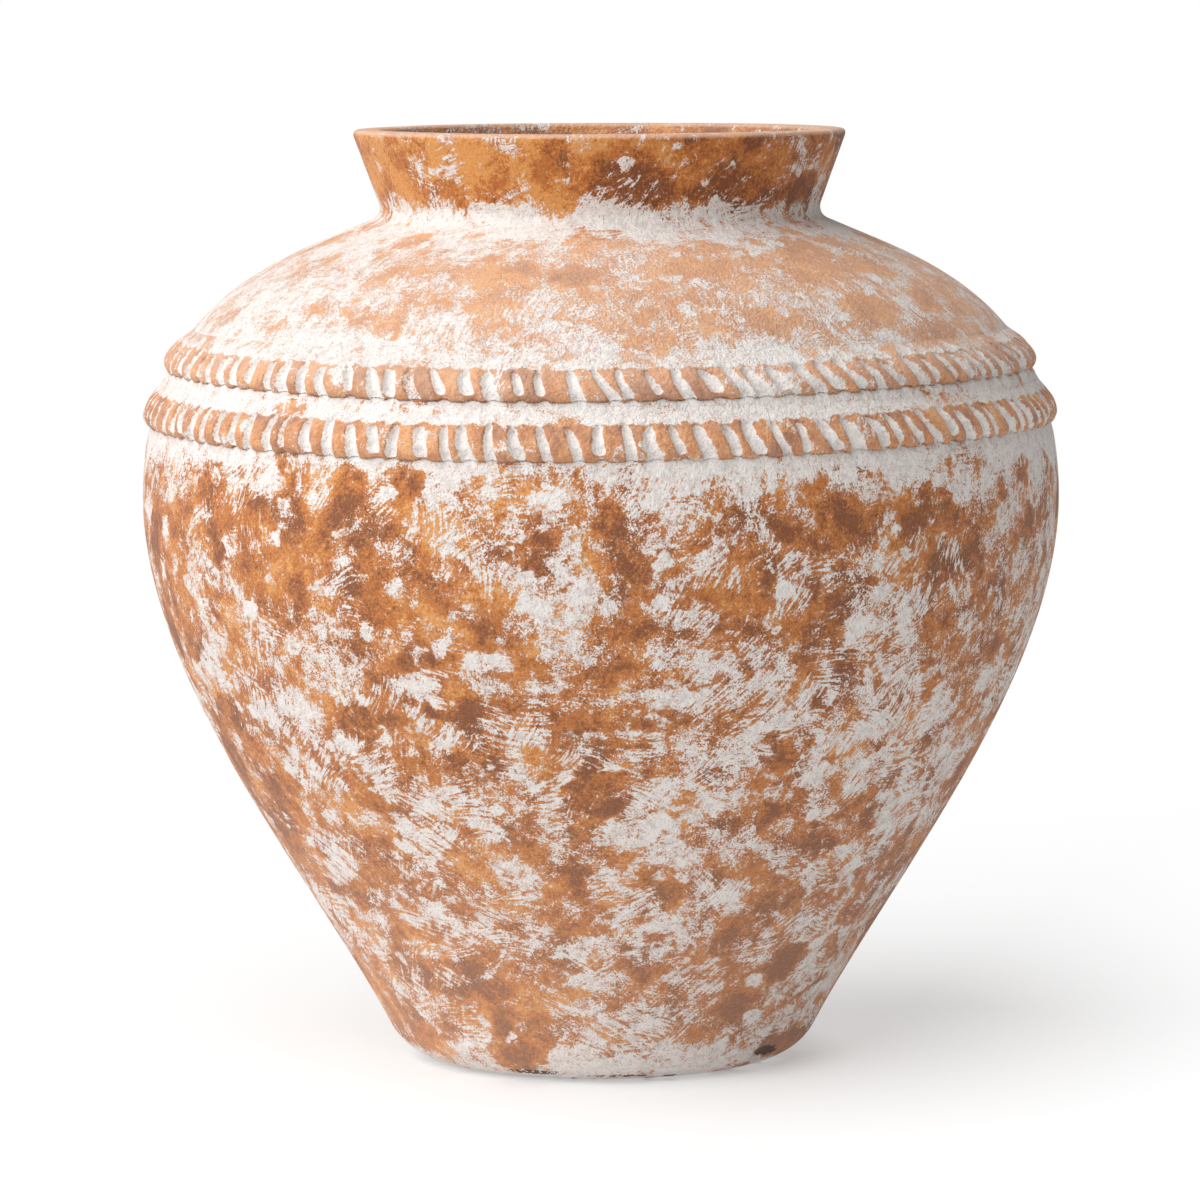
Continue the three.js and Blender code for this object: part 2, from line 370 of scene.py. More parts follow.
def neck_faces():
    inner_lip = lip_corner - radial(LIP_THICKNESS, 0)
    throat = [wall_point(along) for along in bordered(neck_seam, throat_end, EDGE_STEP)]
    inner_throat = [
        wall_point(along, WALL) for along in bordered(throat_end, throat_along, EDGE_STEP)
    ]
    outer_corner = round_corner(throat[-1], lip_corner, inner_lip, LIP_ROUND)
    inner_corner = round_corner(lip_corner, inner_lip, inner_throat[0], LIP_ROUND)
    flare = between(throat[-1], outer_corner[0], OUTER_STEP)
    inner_flare = between(inner_corner[-1], inner_throat[0], OUTER_STEP)
    outer = throat + flare + outer_corner + inner_corner + inner_flare
    last = inner_run(throat_along, neck_seam + SEAM_LAP)
    return outer + inner_throat, last + edge_above(neck_seam)


# Hand work, the same for all pieces, so that they still meet

LIP_HEIGHT = lip_corner.y


def uneven(place):
    """How far the clay stands back towards the axis at a place in space."""
    wide = 0.5 + 0.5 * noise.noise(place / UNEVEN_WIDE_SIZE)
    fine = 0.5 + 0.5 * noise.noise(place / UNEVEN_FINE_SIZE + Vector((7, 3, 5)))
    dents = (UNEVEN_WIDE * wide + UNEVEN_FINE * fine) * min(1, place.z / FOOT_FADE)
    across, rise, half_width, half_height = FOOT_HOLLOW
    reach = math.hypot((place.x - across) / half_width, (place.z - rise) / half_height)
    hollow = max(0, 1 - (reach / HOLLOW_SLOPE) ** 2) ** 2 if place.y < 0 else 0
    return dents + HOLLOW_DEPTH * hollow


def by_hand(radius, turn, height):
    """A corner of a mesh in metres, moved as the hand work moves it."""
    outwards = Vector((math.sin(turn), -math.cos(turn), 0))
    place = outwards * radius + Vector((0, 0, height))
    near_lip = max(0, height - LIP_DIP_FROM) / (LIP_HEIGHT - LIP_DIP_FROM)
    wave = 0.5 + 0.5 * noise.noise(place / LIP_DIP_SIZE + Vector((1, 9, 4)))
    place -= outwards * min(uneven(place), radius)
    place.z -= LIP_DIP * near_lip * wave
    return place * MM


# Pieces

def add_piece(name, node, corners, faces, materials):
    """A closed mesh that stands for a CAD node."""
    mesh = bpy.data.meshes.new(name)
    mesh.from_pydata(corners, [], faces)
    mesh.polygons.foreach_set("use_smooth", [True] * len(mesh.polygons))
    mesh.set_sharp_from_angle(angle=math.radians(50))
    for material in materials:
        mesh.materials.append(material)
    piece = bpy.data.objects.new(name, mesh)
    bpy.context.scene.collection.objects.link(piece)
    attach(piece, "root")
    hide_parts(node)
    return piece


def turned_piece(name, node, faces_of_profile, outer_material, inner_material):
    """A piece turned on the wheel. Where its profile meets the axis, it closes in a point."""
    outer, inner = faces_of_profile
    profile = outer + inner
    corners = []
    rings = []
    for point in profile:
        steps = 1 if point.x == 0 else ROUND_STEPS
        first = len(corners)
        rings.append([first + step % steps for step in range(ROUND_STEPS)])
        turns = (2 * math.pi * step / steps for step in range(steps))
        corners += [by_hand(point.x, turn, point.y) for turn in turns]
    faces = []
    sides = []
    for i, ring in enumerate(rings):
        above = rings[(i + 1) % len(rings)]
        for step in range(ROUND_STEPS):
            after = (step + 1) % ROUND_STEPS
            ends = dict.fromkeys([ring[step], ring[after], above[after], above[step]])
            if len(ends) > 2:
                faces.append(list(ends))
                sides.append(0 if i < len(outer) - 1 else 1)
    materials = [outer_material, inner_material]
    piece = add_piece(name, node, corners, faces, materials)
    piece.data.polygons.foreach_set("material_index", sides)


class Notch:
    """One notch of a rope coil: a groove with round ends, pressed across it. Heights on a coil
    are shares of its ribbed band, from 0 at its foot to 1."""

    def __init__(self, turn, radius, band, lean, chance):
        self.turn = turn
        self.radius = radius
        self.band = band
        self.slant = math.tan(math.radians(lean + chance.gauss(0, 5)))
        self.half_width = NOTCH_WIDTH / 2 * chance.uniform(0.72, 1.25)
        self.taper = chance.uniform(0.1, 0.45)  # narrower towards the top
        self.bend = chance.uniform(-0.5, 2.2)
        self.depth = NOTCH_DEPTH * chance.uniform(0.75, 1.15)
        end = self.half_width / band
        self.low = end + chance.choice([-0.25, -0.2, -0.12, 0, 0.08])
        self.high = 1 - end + chance.uniform(-0.06, 0.08)

    def across(self, turn, share):
        """Distance to the right of the groove's middle line, as a share of its half width."""
        rise = (share - 0.5) * self.band
        bulge = self.bend * (1 - (2 * share - 1) ** 2)
        aside = (turn - self.turn) * self.radius + rise * self.slant + bulge
        narrowing = 1 - self.taper * min(max(share, 0), 1)
        return aside / math.hypot(1, self.slant) / (self.half_width * narrowing)

    def beyond(self, share):
        """Distance past the groove's ends, on the same scale."""
        return max(0, self.low - share, share - self.high) * self.band / self.half_width


def bead(share, top):
    """Height of a rope coil over its seat, as a share of its full height: steep at the foot and
    gentle above its ribbed band, where it is smoothed into the wall. top is the coil's upper
    edge on the scale of the band."""
    if share < BEAD_CREST:
        return max(0, 1 - (1 - share / BEAD_CREST) ** 2.4) ** 0.55
    run = (share - BEAD_CREST) / (top - BEAD_CREST)
    return max(0, math.cos(math.pi / 2 * run)) ** 1.25


def rope_piece(name, node, seat, band_ends, lean, material, seed):
    """A rope coil with its flat back on its seat on the wall."""
    chance = random.Random(seed)
    low = wall_point(seat[0])
    high = wall_point(seat[1])
    upwards = (high - low).normalized()
    outwards = radial(upwards.y, -upwards.x)
    middle = low.lerp(high, 0.5)
    band = band_ends[1] - band_ends[0]
    count = round(2 * math.pi * middle.x / NOTCH_PITCH)
    pitch = 2 * math.pi / count
    half = ROPE_WIDTH / 2

    def lean_at(turn):
        return lean + LEAN_SWING * math.sin(turn)

    def slant_at(turn):
        """How far round the jar the ribs lean, in radians for each millimetre of rise."""
        return math.tan(math.radians(lean_at(turn))) / middle.x

    notches = []
    for i in range(count):
        turn = (i + chance.uniform(-NOTCH_STRAY, NOTCH_STRAY)) * pitch
        notches.append(Notch(turn, middle.x, band, lean_at(turn), chance))
    plumpness = [chance.uniform(LEAST_PLUMPNESS, 1) for _ in range(count)]

    def foot_at(turn):
        """Where the coil starts above the wall, as it sags and is nicked by the notches."""
        sag = ROPE_SAG * math.sin(turn - ROPE_SAG_TURN) ** 2
        nearest = round((turn - 0.5 * band * slant_at(turn)) / pitch)
        across = notches[nearest % count].across(turn - 2 * math.pi * (nearest // count), 0)
        ripple = noise.noise(Vector((math.sin(turn), math.cos(turn), seed)) * 28)
        return band_ends[0] + sag + SCALLOP * max(0, 1 - across**2) + FOOT_RIPPLE * ripple

    def pressed_at(turn, share, nearest):
        """How far inside a groove a place is, on the scale of its half width, and how deep."""
        inside, depth = -1, 0
        for i in (nearest - 1, nearest, nearest + 1):
            notch = notches[i % count]
            across = notch.across(turn - 2 * math.pi * (i // count), share)
            distance = math.hypot(across, notch.beyond(share))
            if 1 - distance > inside:
                inside = 1 - distance
                depth = notch.depth * max(0, 1 - min(1, distance) ** 2.2) ** 0.8
        return inside, depth

    def plump_at(rib):
        """How plump the coil is at a rib, or between two of them."""
        before, after = plumpness[math.floor(rib) % count], plumpness[math.ceil(rib) % count]
        return before + (after - before) * (rib - math.floor(rib))

    steps = count * ROPE_STEPS_PER_NOTCH
    spacing = [0.5 - 0.5 * math.cos(math.pi * row / ROPE_ROWS) for row in range(ROPE_ROWS + 1)]
    corners = []
    groove = []
    rising = []
    for step in range(steps):
        even_turn = 2 * math.pi * step / steps
        slant = slant_at(even_turn)
        for row, part in enumerate(spacing):
            lean_share = math.sin(math.pi * row / ROPE_ROWS)
            turn = even_turn - (part - LEAN_MIDDLE) * ROPE_WIDTH * slant * lean_share
            foot = foot_at(turn)
            rise = foot + part * (half - foot)
            share = (rise - foot) / band
            rib = (turn + (share - 0.5) * band * slant) / pitch
            inside, depth = pressed_at(turn, share, round(rib))
            height = bead(share, (half - foot) / band) * ROPE_PROUD * plump_at(rib)
            height = max(height - depth, min(height, NOTCH_FLOOR)) + ROPE_LIFT
            point = middle + upwards * rise + outwards * height
            corners.append(by_hand(point.x, turn, point.y))
            groove.append(inside)
            rising.append(share)
        for rise in (half / 2, foot_at(even_turn) + BACK_INSET):
            point = middle + upwards * rise + outwards * ROPE_LIFT
            corners.append(by_hand(point.x, even_turn, point.y))
            groove.append(-1)
            rising.append(0)

    size = len(spacing) + 2
    faces = []
    for step in range(steps):
        here = step * size
        there = (step + 1) % steps * size
        for j in range(size):
            up = (j + 1) % size
            faces.append([here + j, there + j, there + up, here + up])
    piece = add_piece(name, node, corners, faces, [material])
    for label, values in (("groove", groove), ("rising", rising)):
        layer = piece.data.attributes.new(label, "FLOAT", "POINT")
        layer.data.foreach_set("value", values)


# Materials

def srgb(red, green, blue):
    """A colour as it is seen on a screen, from 0 to 255, in linear light."""
    levels = (channel / 255 for channel in (red, green, blue))
    linear = [v / 12.92 if v <= 0.04045 else ((v + 0.055) / 1.055) ** 2.4 for v in levels]
    return (*linear, 1)


class Graph:
    """Short calls that add nodes to a tree."""

    def __init__(self, tree):
        self.tree = tree

    def add(self, kind, inputs=None, **settings):
        node = self.tree.nodes.new("ShaderNode" + kind)
        for name, value in settings.items():
            setattr(node, name, value)
        for key, value in (inputs or {}).items():
            self.feed(node.inputs[key], value)
        return node

    def feed(self, socket, value):
        if isinstance(value, bpy.types.NodeSocket):
            self.tree.links.new(value, socket)
        else:
            socket.default_value = value

    def math(self, operation, *values):
        return self.add("Math", dict(enumerate(values)), operation=operation).outputs[0]

    def total(self, *values):
        result = values[0]
        for value in values[1:]:
            result = self.math("ADD", result, value)
        return result

    def times(self, a, b):
        return self.math("MULTIPLY", a, b)

    def vector(self, operation, *values):
        node = self.add("VectorMath", dict(enumerate(values)), operation=operation)
        return node.outputs["Value" if operation in ("DOT_PRODUCT", "LENGTH") else "Vector"]

    def scaled(self, vector, factor):
        node = self.add("VectorMath", {0: vector, "Scale": factor}, operation="SCALE")
        return node.outputs["Vector"]

    def combine(self, x, y, z):
        return self.add("CombineXYZ", {0: x, 1: y, 2: z}).outputs[0]

    def noise(self, place, size, detail=2, roughness=0.5):
        """Noise around 0 with features of a size in millimetres."""
        settings = {"Vector": place, "Scale": 1 / size, "Detail": detail, "Roughness": roughness}
        return self.math("SUBTRACT", self.add("TexNoise", settings).outputs[0], 0.5)

    def noise_vector(self, place, size, detail=2):
        node = self.add("TexNoise", {"Vector": place, "Scale": 1 / size, "Detail": detail})
        return self.vector("SUBTRACT", node.outputs["Color"], (0.5, 0.5, 0.5))

    def step(self, value, start, end, low=0, high=1):
        """A soft step from low to high as a value goes from start to end."""
        inputs = {0: value, 1: start, 2: end, 3: low, 4: high}
        return self.add("MapRange", inputs, interpolation_type="SMOOTHSTEP").outputs[0]

    def straight(self, share, low, high):
        """low where a share is 0 and high where it is 1, in a straight run between them."""
        return self.add("MapRange", {0: share, 3: low, 4: high}).outputs[0]

    def mix(self, share, a, b):
        node = self.add("Mix", {0: share, 6: a, 7: b}, data_type="RGBA")
        return node.outputs[2]

    def ramp(self, value, stops):
        """A value given at a few listed places, with straight runs between them."""
        lowest, highest = stops[0][0], stops[-1][0]
        least = min(level for _, level in stops)
        most = max(level for _, level in stops)
        share = self.add("MapRange", {0: value, 1: lowest, 2: highest}).outputs[0]
        node = self.add("ValToRGB", {0: share})
        elements = node.color_ramp.elements
        while len(elements) < len(stops):
            elements.new(0.5)
        for element, (position, level) in zip(elements, stops):
            element.position = (position - lowest) / (highest - lowest)
            grey = (level - least) / (most - least)
            element.color = (grey, grey, grey, 1)
        return self.total(self.times(node.outputs[0], most - least), least)


PALE_CLAY = srgb(219, 149, 76)
ORANGE_CLAY = srgb(186, 106, 34)
RED_CLAY = srgb(120, 58, 14)
DARK_CLAY = srgb(110, 54, 22)
WASH = srgb(238, 232, 227)
WASH_SHADE = srgb(214, 206, 202)
VEIL = srgb(230, 190, 164)
DUST = srgb(234, 190, 138)
# Dark brown for grime, and for painted shade under the rope coils and in the foot's slit and
# hollow
GRIME_AND_SHADE = srgb(46, 26, 16)
CLAY_ROUGHNESS = 0.68
WASH_ROUGHNESS = 0.92
SPECULAR_LEVEL = 0.3
SHEEN_WEIGHT = 0.12
SHEEN_ROUGHNESS = 0.5
SHEEN_TINT = (1, 0.9, 0.86, 1)
DAB_SWING = math.radians(60)  # how far the strokes of a dab lean either way


def brush_dabs(graph, ways, cell, width, length, lean, offset):
    """Dabs of a stiff brush: cells of space, each with its own tone and its own bundle of bent
    strokes. Gives the strokes and the tone, both around 0."""
    shifted = graph.vector("ADD", ways["warped"], offset)
    cells = graph.add("TexVoronoi", {"Vector": shifted, "Scale": 1 / cell})
    centre = cells.outputs["Position"]
    pick = graph.add("SeparateColor", {0: cells.outputs["Color"]}).outputs
    swing = graph.times(graph.math("SUBTRACT", pick[0], 0.5), 2 * DAB_SWING)
    angle = graph.total(lean, swing)
    cosine = graph.math("COSINE", angle)
    sine = graph.math("SINE", angle)
    round_way, up_way = ways["round"], ways["up"]
    forwards = graph.vector("ADD", graph.scaled(round_way, cosine), graph.scaled(up_way, sine))
    crossways = graph.vector(
        "SUBTRACT", graph.scaled(up_way, cosine), graph.scaled(round_way, sine)
    )
    away = graph.vector("SUBTRACT", graph.vector("ADD", ways["place"], offset), centre)
    along = graph.vector("DOT_PRODUCT", away, forwards)
    across = graph.vector("DOT_PRODUCT", away, crossways)
    bend = graph.times(graph.math("SUBTRACT", pick[1], 0.5), 1 / cell)
    across = graph.total(across, graph.times(graph.times(along, along), bend))
    seed = graph.times(pick[2], 60)
    where = graph.combine(graph.times(along, 1 / length), graph.times(across, 1 / width), seed)
    strokes = graph.noise(where, 1, 2, 0.6)
    reach = graph.vector("LENGTH", graph.vector("SUBTRACT", shifted, centre))
    fade = graph.step(reach, 0.3 * cell, 0.8 * cell, 1, 0.3)
    tone = graph.times(graph.math("SUBTRACT", pick[2], 0.5), fade)
    return graph.times(strokes, fade), tone


def round_daubs(graph, ways, ragged, cell, smallest, growth, share, softness):
    """Round daubs with a torn edge, one in each of a share of the cells of space: 1 inside them
    and 0 outside."""
    cells = graph.add("TexVoronoi", {"Vector": ways["daubed"], "Scale": 1 / cell})
    pick = graph.add("SeparateColor", {0: cells.outputs["Color"]}).outputs
    size = graph.total(graph.times(pick[0], growth), smallest)
    torn = graph.times(ragged, 0.9 * smallest + 0.4 * growth)
    reach = graph.times(cells.outputs["Distance"], cell)
    inside = graph.math("SUBTRACT", graph.total(size, torn), reach)
    chosen = graph.math("LESS_THAN", pick[1], share)
    return graph.times(graph.step(inside, -softness, softness), chosen)


def limewash_group():
    """Limewash brushed and rubbed over clay. Cover adds or takes away wash, Dabs is the strength
    of the brush marks, Veil lays a thin film over the clay that is left bare, Tone makes that
    clay redder, or paler below 0, and the last input lays a dark colour of grime and painted
    shade."""
    tree = bpy.data.node_groups.new("limewash", "ShaderNodeTree")
    for name, default in (("Cover", 0), ("Dabs", 1), ("Veil", 0), ("Tone", 0), ("Stain", 0)):
        socket = tree.interface.new_socket(name, in_out="INPUT", socket_type="NodeSocketFloat")
        socket.default_value = default
    tree.interface.new_socket("Color", in_out="OUTPUT", socket_type="NodeSocketColor")
    tree.interface.new_socket("Height", in_out="OUTPUT", socket_type="NodeSocketFloat")
    tree.interface.new_socket("Roughness", in_out="OUTPUT", socket_type="NodeSocketFloat")
    graph = Graph(tree)
    given = tree.nodes.new("NodeGroupInput").outputs
    coordinates = graph.add("TexCoord").outputs
    place = graph.scaled(coordinates["Object"], 1 / MM)
    height = graph.add("SeparateXYZ", {0: place}).outputs[2]
    round_way = graph.vector("NORMALIZE", graph.vector("CROSS_PRODUCT", (0, 0, 1), place))
    ways = {
        "place": place,
        "warped": graph.vector("ADD", place, graph.scaled(graph.noise_vector(place, 24), 26)),
        "round": round_way,
        "up": graph.vector("CROSS_PRODUCT", coordinates["Normal"], round_way),
        "daubed": graph.vector("ADD", place, graph.scaled(graph.noise_vector(place, 8), 10)),
    }

    # Where the wash lies
    lean = graph.step(height, 120, 280, math.radians(12), math.radians(50))
    wide, wide_tone = brush_dabs(
        graph, ways, cell=44, width=1.7, length=17, lean=lean, offset=(0, 0, 0)
    )
    narrow, narrow_tone = brush_dabs(
        graph, ways, cell=22, width=1.3, length=9, lean=lean, offset=(31, 17, 53)
    )
    brushed = graph.step(graph.noise(place, 30, 1), -0.08, 0.12, 0.5, 2.1)
    strokes = graph.times(graph.total(wide, graph.times(narrow, 1.3)), brushed)
    blotches = graph.noise(ways["daubed"], 15, 6, 0.68)
    small_blotches = graph.noise(ways["daubed"], 5.5, 4, 0.68)
    ragged = graph.noise(place, 4, 4, 0.7)
    bare_daubs = round_daubs(
        graph, ways, ragged, cell=34, smallest=4, growth=12, share=0.5, softness=4
    )
    white_daubs = round_daubs(
        graph, ways, ragged, cell=15, smallest=1.5, growth=3.5, share=0.3, softness=1.2
    )
    grain = graph.noise(place, 0.9, 1, 0.5)
    grainy = graph.step(graph.noise(place, 26, 2), -0.12, 0.12, 0.35, 1.5)
    marks = graph.total(
        graph.times(graph.noise(place, 60, 1), 0.4),
        graph.times(blotches, 2.9),
        graph.times(small_blotches, 1.3),
        graph.times(wide_tone, 0.5),
        graph.times(narrow_tone, 0.3),
        graph.times(bare_daubs, -0.55),
        graph.times(white_daubs, 0.6),
        strokes,
    )
    amount = graph.total(
        graph.times(marks, given["Dabs"]), graph.times(grain, grainy), given["Cover"]
    )
    wash = graph.step(amount, -0.13, 0.14)

    # Bare clay, redder and darker in places, with a thin film and pale grains of wash on it
    fleck = graph.noise(place, 1.9, 2, 0.6)
    mottle = graph.total(
        graph.noise(ways["warped"], 21, 4, 0.6),
        graph.times(strokes, 0.2),
        graph.times(fleck, 0.5),
        graph.step(amount, -1.0, -0.05, 0.13, -0.08),
        graph.times(bare_daubs, 0.03),
        given["Tone"],
    )
    clay = graph.mix(graph.step(mottle, -0.22, -0.03), PALE_CLAY, ORANGE_CLAY)
    clay = graph.mix(graph.step(mottle, -0.04, 0.2), clay, RED_CLAY)
    pits = graph.step(graph.noise(place, 1.2, 2, 0.6), 0.1, 0.24)
    clay = graph.mix(graph.times(pits, 0.3), clay, DARK_CLAY)
    clay = graph.mix(graph.times(given["Veil"], 0.7), clay, VEIL)
    speckle = graph.noise(graph.vector("ADD", place, (20, 70, 30)), 0.8, 2, 0.7)
    dust = graph.step(graph.total(speckle, graph.step(amount, -0.9, 0, 0, 0.07)), 0.06, 0.17)
    clay = graph.mix(graph.times(dust, 0.2), clay, DUST)

    # The wash, thinner and greyer in places, with clay grains showing through
    shade = graph.step(graph.noise(place, 4, 5, 0.7), -0.08, 0.2)
    white = graph.mix(shade, WASH, WASH_SHADE)
    near_edge = graph.step(amount, 0.0, 0.6, 0.11, 0)
    specks = graph.step(graph.total(graph.times(speckle, -1), near_edge), 0.1, 0.2)
    white = graph.mix(graph.times(specks, 0.6), white, ORANGE_CLAY)

    relief = graph.total(
        graph.times(wash, 0.12),
        graph.times(strokes, graph.times(wash, 0.1)),
        graph.times(fleck, 1.15),
        graph.times(grain, 0.4),
    )
    # Dark colour over all: fine specks of grime, dark chips on the foot, and painted shade under
    # the rope coils and in the slit and hollow of the foot
    grime_and_shade = graph.step(graph.total(given["Stain"], graph.times(speckle, 0.9), -0.5), -0.1, 0.1)
    colour = graph.mix(graph.times(grime_and_shade, 0.9), graph.mix(wash, clay, white), GRIME_AND_SHADE)
    found = tree.nodes.new("NodeGroupOutput").inputs
    graph.feed(found["Color"], colour)
    graph.feed(found["Height"], relief)
    graph.feed(found["Roughness"], graph.straight(wash, CLAY_ROUGHNESS, WASH_ROUGHNESS))
    return tree


def clay_material(name, **inputs):
    """A matt material over the limewash group, whose inputs are numbers, or functions that add
    nodes to a graph and give a socket."""
    material = bpy.data.materials.new(name)
    material.use_nodes = True
    tree = material.node_tree
    graph = Graph(tree)
    wash = tree.nodes.new("ShaderNodeGroup")
    wash.node_tree = limewash
    for label, value in inputs.items():
        graph.feed(wash.inputs[label], value(graph) if callable(value) else value)
    bump = graph.add("Bump", {"Height": wash.outputs["Height"], "Distance": MM, "Strength": 1})
    shader = tree.nodes["Principled BSDF"]
    graph.feed(shader.inputs["Base Color"], wash.outputs["Color"])
    graph.feed(shader.inputs["Roughness"], wash.outputs["Roughness"])
    graph.feed(shader.inputs["Normal"], bump.outputs["Normal"])
    shader.inputs["Specular IOR Level"].default_value = SPECULAR_LEVEL
    shader.inputs["Sheen Weight"].default_value = SHEEN_WEIGHT
    shader.inputs["Sheen Roughness"].default_value = SHEEN_ROUGHNESS
    shader.inputs["Sheen Tint"].default_value = SHEEN_TINT
    return material


def place_in_jar(graph):
    """A place in millimetres from the middle of the jar's underside."""
    return graph.scaled(graph.add("TexCoord").outputs["Object"], 1 / MM)


def ragged_height(graph):
    """The height in the jar, with an uneven edge for what depends on it."""
    place = place_in_jar(graph)
    height = graph.add("SeparateXYZ", {0: place}).outputs[2]
    stretched = graph.vector("MULTIPLY", place, (1, 1, 0.35))
    return graph.total(height, graph.times(graph.noise(stretched, 9, 3, 0.6), 22))


def sideways(graph, stops):
    """A value that changes from the left of the jar to its right."""
    x = graph.add("SeparateXYZ", {0: place_in_jar(graph)}).outputs[0]
    return graph.ramp(x, stops)


def mark(graph, ellipse):
    """1 in a torn ellipse on the front of the jar and 0 round it. It is given by its middle to
    the right and its height, then its half width and half height."""
    across, rise, half_width, half_height = ellipse
    place = place_in_jar(graph)
    x, y, z = graph.add("SeparateXYZ", {0: place}).outputs
    aside = graph.times(graph.math("SUBTRACT", x, across), 1 / half_width)
    above = graph.times(graph.math("SUBTRACT", z, rise), 1 / half_height)
    front = graph.times(graph.step(y, -5, 5), 9)
    reach = graph.vector("LENGTH", graph.combine(aside, above, front))
    torn = graph.times(graph.noise(place, 4, 3, 0.65), 1.6)
    return graph.step(graph.total(reach, torn), 0.7, 1.1, 1, 0)


def body_cover(graph):
    """Wash on the body, with more of it at the foot, between the ropes and in the throat."""
    body = [(0, 0.6), (9, 0.35), (22, -0.1), (180, 0.0), (290, -0.14), (304, 0.16), (312, 0.5)]
    shoulder = [(354, 0.5), (362, 0.2), (370, -0.06), (403, -0.12), (413, 0.22)]
    return graph.ramp(ragged_height(graph), body + shoulder)


def wall_cover(graph):
    """The same on the wall, worn further off at the sides and by the hollow in the foot."""
    sides = sideways(graph, [(-228, 0.03), (-120, -0.13), (-20, 0.0), (90, -0.02), (228, 0.12)])
    worn = graph.times(mark(graph, FOOT_WORN), -1.2)
    return graph.total(body_cover(graph), sides, worn)


def wall_side_shade(graph):
    """The clay of the wall is painted a little redder and darker towards the right, as painted
    shade.
    """
    return sideways(graph, [(-228, 0.01), (-60, 0.02), (60, 0.07), (228, 0.08)])


def shoulder_cover(graph):
    """The same on the shoulder, with more of it left on the left."""
    return graph.total(
        body_cover(graph), sideways(graph, [(-228, 0.3), (-120, 0.22), (-30, 0.0), (228, 0.06)])
    )


def body_veil(graph):
    """A thin film of wash on bare clay, thickest on the shoulder."""
    body = [(0, 0.4), (80, 0.3), (170, 0.12), (300, 0.1), (340, 0.15)]
    shoulder = [(366, 0.7), (420, 0.7)]
    return graph.ramp(ragged_height(graph), body + shoulder)


def foot_chips_and_shade(graph):
    """Dark chips along the edge of the foot, with painted shadow in a slit under its edge and
    painted shade in the hollow in it.
    """
    place = place_in_jar(graph)
    height = graph.add("SeparateXYZ", {0: place}).outputs[2]
    low = graph.step(height, 1.5, 5, 0.75, 0)
    chips = graph.step(graph.noise(place, 16, 3, 0.6), 0.05, 0.14)
    flecks = graph.step(graph.noise(place, 2.2, 2, 0.6), -0.12, 0.06, 0.3, 0.88)
    # Dark chips, and painted shadow in the slit under the foot
    flecked = graph.times(graph.total(mark(graph, FOOT_SLIT_SHADOW), mark(graph, FOOT_CHIPS)), flecks)
    # Painted shade in the hollow
    hollow = graph.times(mark(graph, FOOT_HOLLOW), 0.66)
    return graph.total(graph.times(low, chips), flecked, hollow)


def inside_share(graph):
    """1 on the inner face of the neck and 0 on the outer one."""
    place = place_in_jar(graph)
    x, y, z = graph.add("SeparateXYZ", {0: place}).outputs
    radius = graph.math("SQRT", graph.total(graph.times(x, x), graph.times(y, y)))
    flare = math.tan(math.radians(NECK_FLARE))
    middle = lip_corner.x - LIP_THICKNESS / 2 - lip_corner.y * flare
    depth = graph.math("SUBTRACT", graph.total(graph.times(z, flare), middle), radius)
    return graph.step(depth, -1, 1)


def neck_cover(graph):
    """Wash left in the throat, and flecks of it on the flared neck."""
    outside = graph.ramp(
        ragged_height(graph), [(404, 0.0), (413, 0.5), (422, 0.46), (431, -0.33), (462, -0.3)]
    )
    return graph.total(outside, graph.times(inside_share(graph), 0.05))


def neck_veil(graph):
    """A film of wash on the lip and on the inner face."""
    film = graph.ramp(ragged_height(graph), [(410, 0.5), (430, 0.05), (462, 0.05)])
    height = graph.add("SeparateXYZ", {0: place_in_jar(graph)}).outputs[2]
    lip = graph.step(height, 459, 461, 0, 0.95)
    inside = graph.times(inside_share(graph), 0.35)
    return graph.math("MAXIMUM", graph.math("MAXIMUM", film, lip), inside)


def neck_patches_and_shading(graph):
    """The clay of the neck is golden on the left, as painted light, and darker on the right, as
    painted shade, in big patches of redder and paler clay.
    """
    patches = graph.times(graph.noise(place_in_jar(graph), 30, 3, 0.6), 1.1)
    # Painted light on the left of the neck and painted shade on its right
    sides = sideways(graph, [(-124, -0.13), (-60, -0.08), (0, 0.03), (124, 0.09)])
    return graph.total(sides, patches)


def worn_edge(graph):
    """Fine unevenness for where the wash is rubbed off a rope coil."""
    return graph.noise(place_in_jar(graph), 5, 4, 0.7)


def on_ribs(graph):
    """1 on the ribbed band of a rope coil and 0 above it."""
    rising = graph.add("Attribute", attribute_name="rising").outputs["Fac"]
    return graph.step(graph.total(rising, graph.times(worn_edge(graph), 0.25)), 0.96, 1.06, 1, 0)


def rope_veil(graph):
    """The film of wash on the ribs, thicker and patchier than on the wall."""
    return graph.total(body_veil(graph), graph.times(worn_edge(graph), 0.8), 0.35)


def rope_cover(graph):
    """Wash left in the notches and above the ribs, which are rubbed bare."""
    groove = graph.add("Attribute", attribute_name="groove").outputs["Fac"]
    worn = graph.times(worn_edge(graph), 0.9)
    in_groove = graph.step(graph.total(groove, worn), -0.05, 0.2, 0, 1.3)
    ribs = on_ribs(graph)
    away = graph.math("SUBTRACT", 1, ribs)
    return graph.total(in_groove, graph.times(ribs, -0.42), graph.times(away, body_cover(graph)))


def rope_shade_and_grime(graph):
    """Painted shade and dark grime in the sharp corner under a coil."""
    rising = graph.add("Attribute", attribute_name="rising").outputs["Fac"]
    return graph.step(rising, 0.0, 0.08, 0.48, 0)


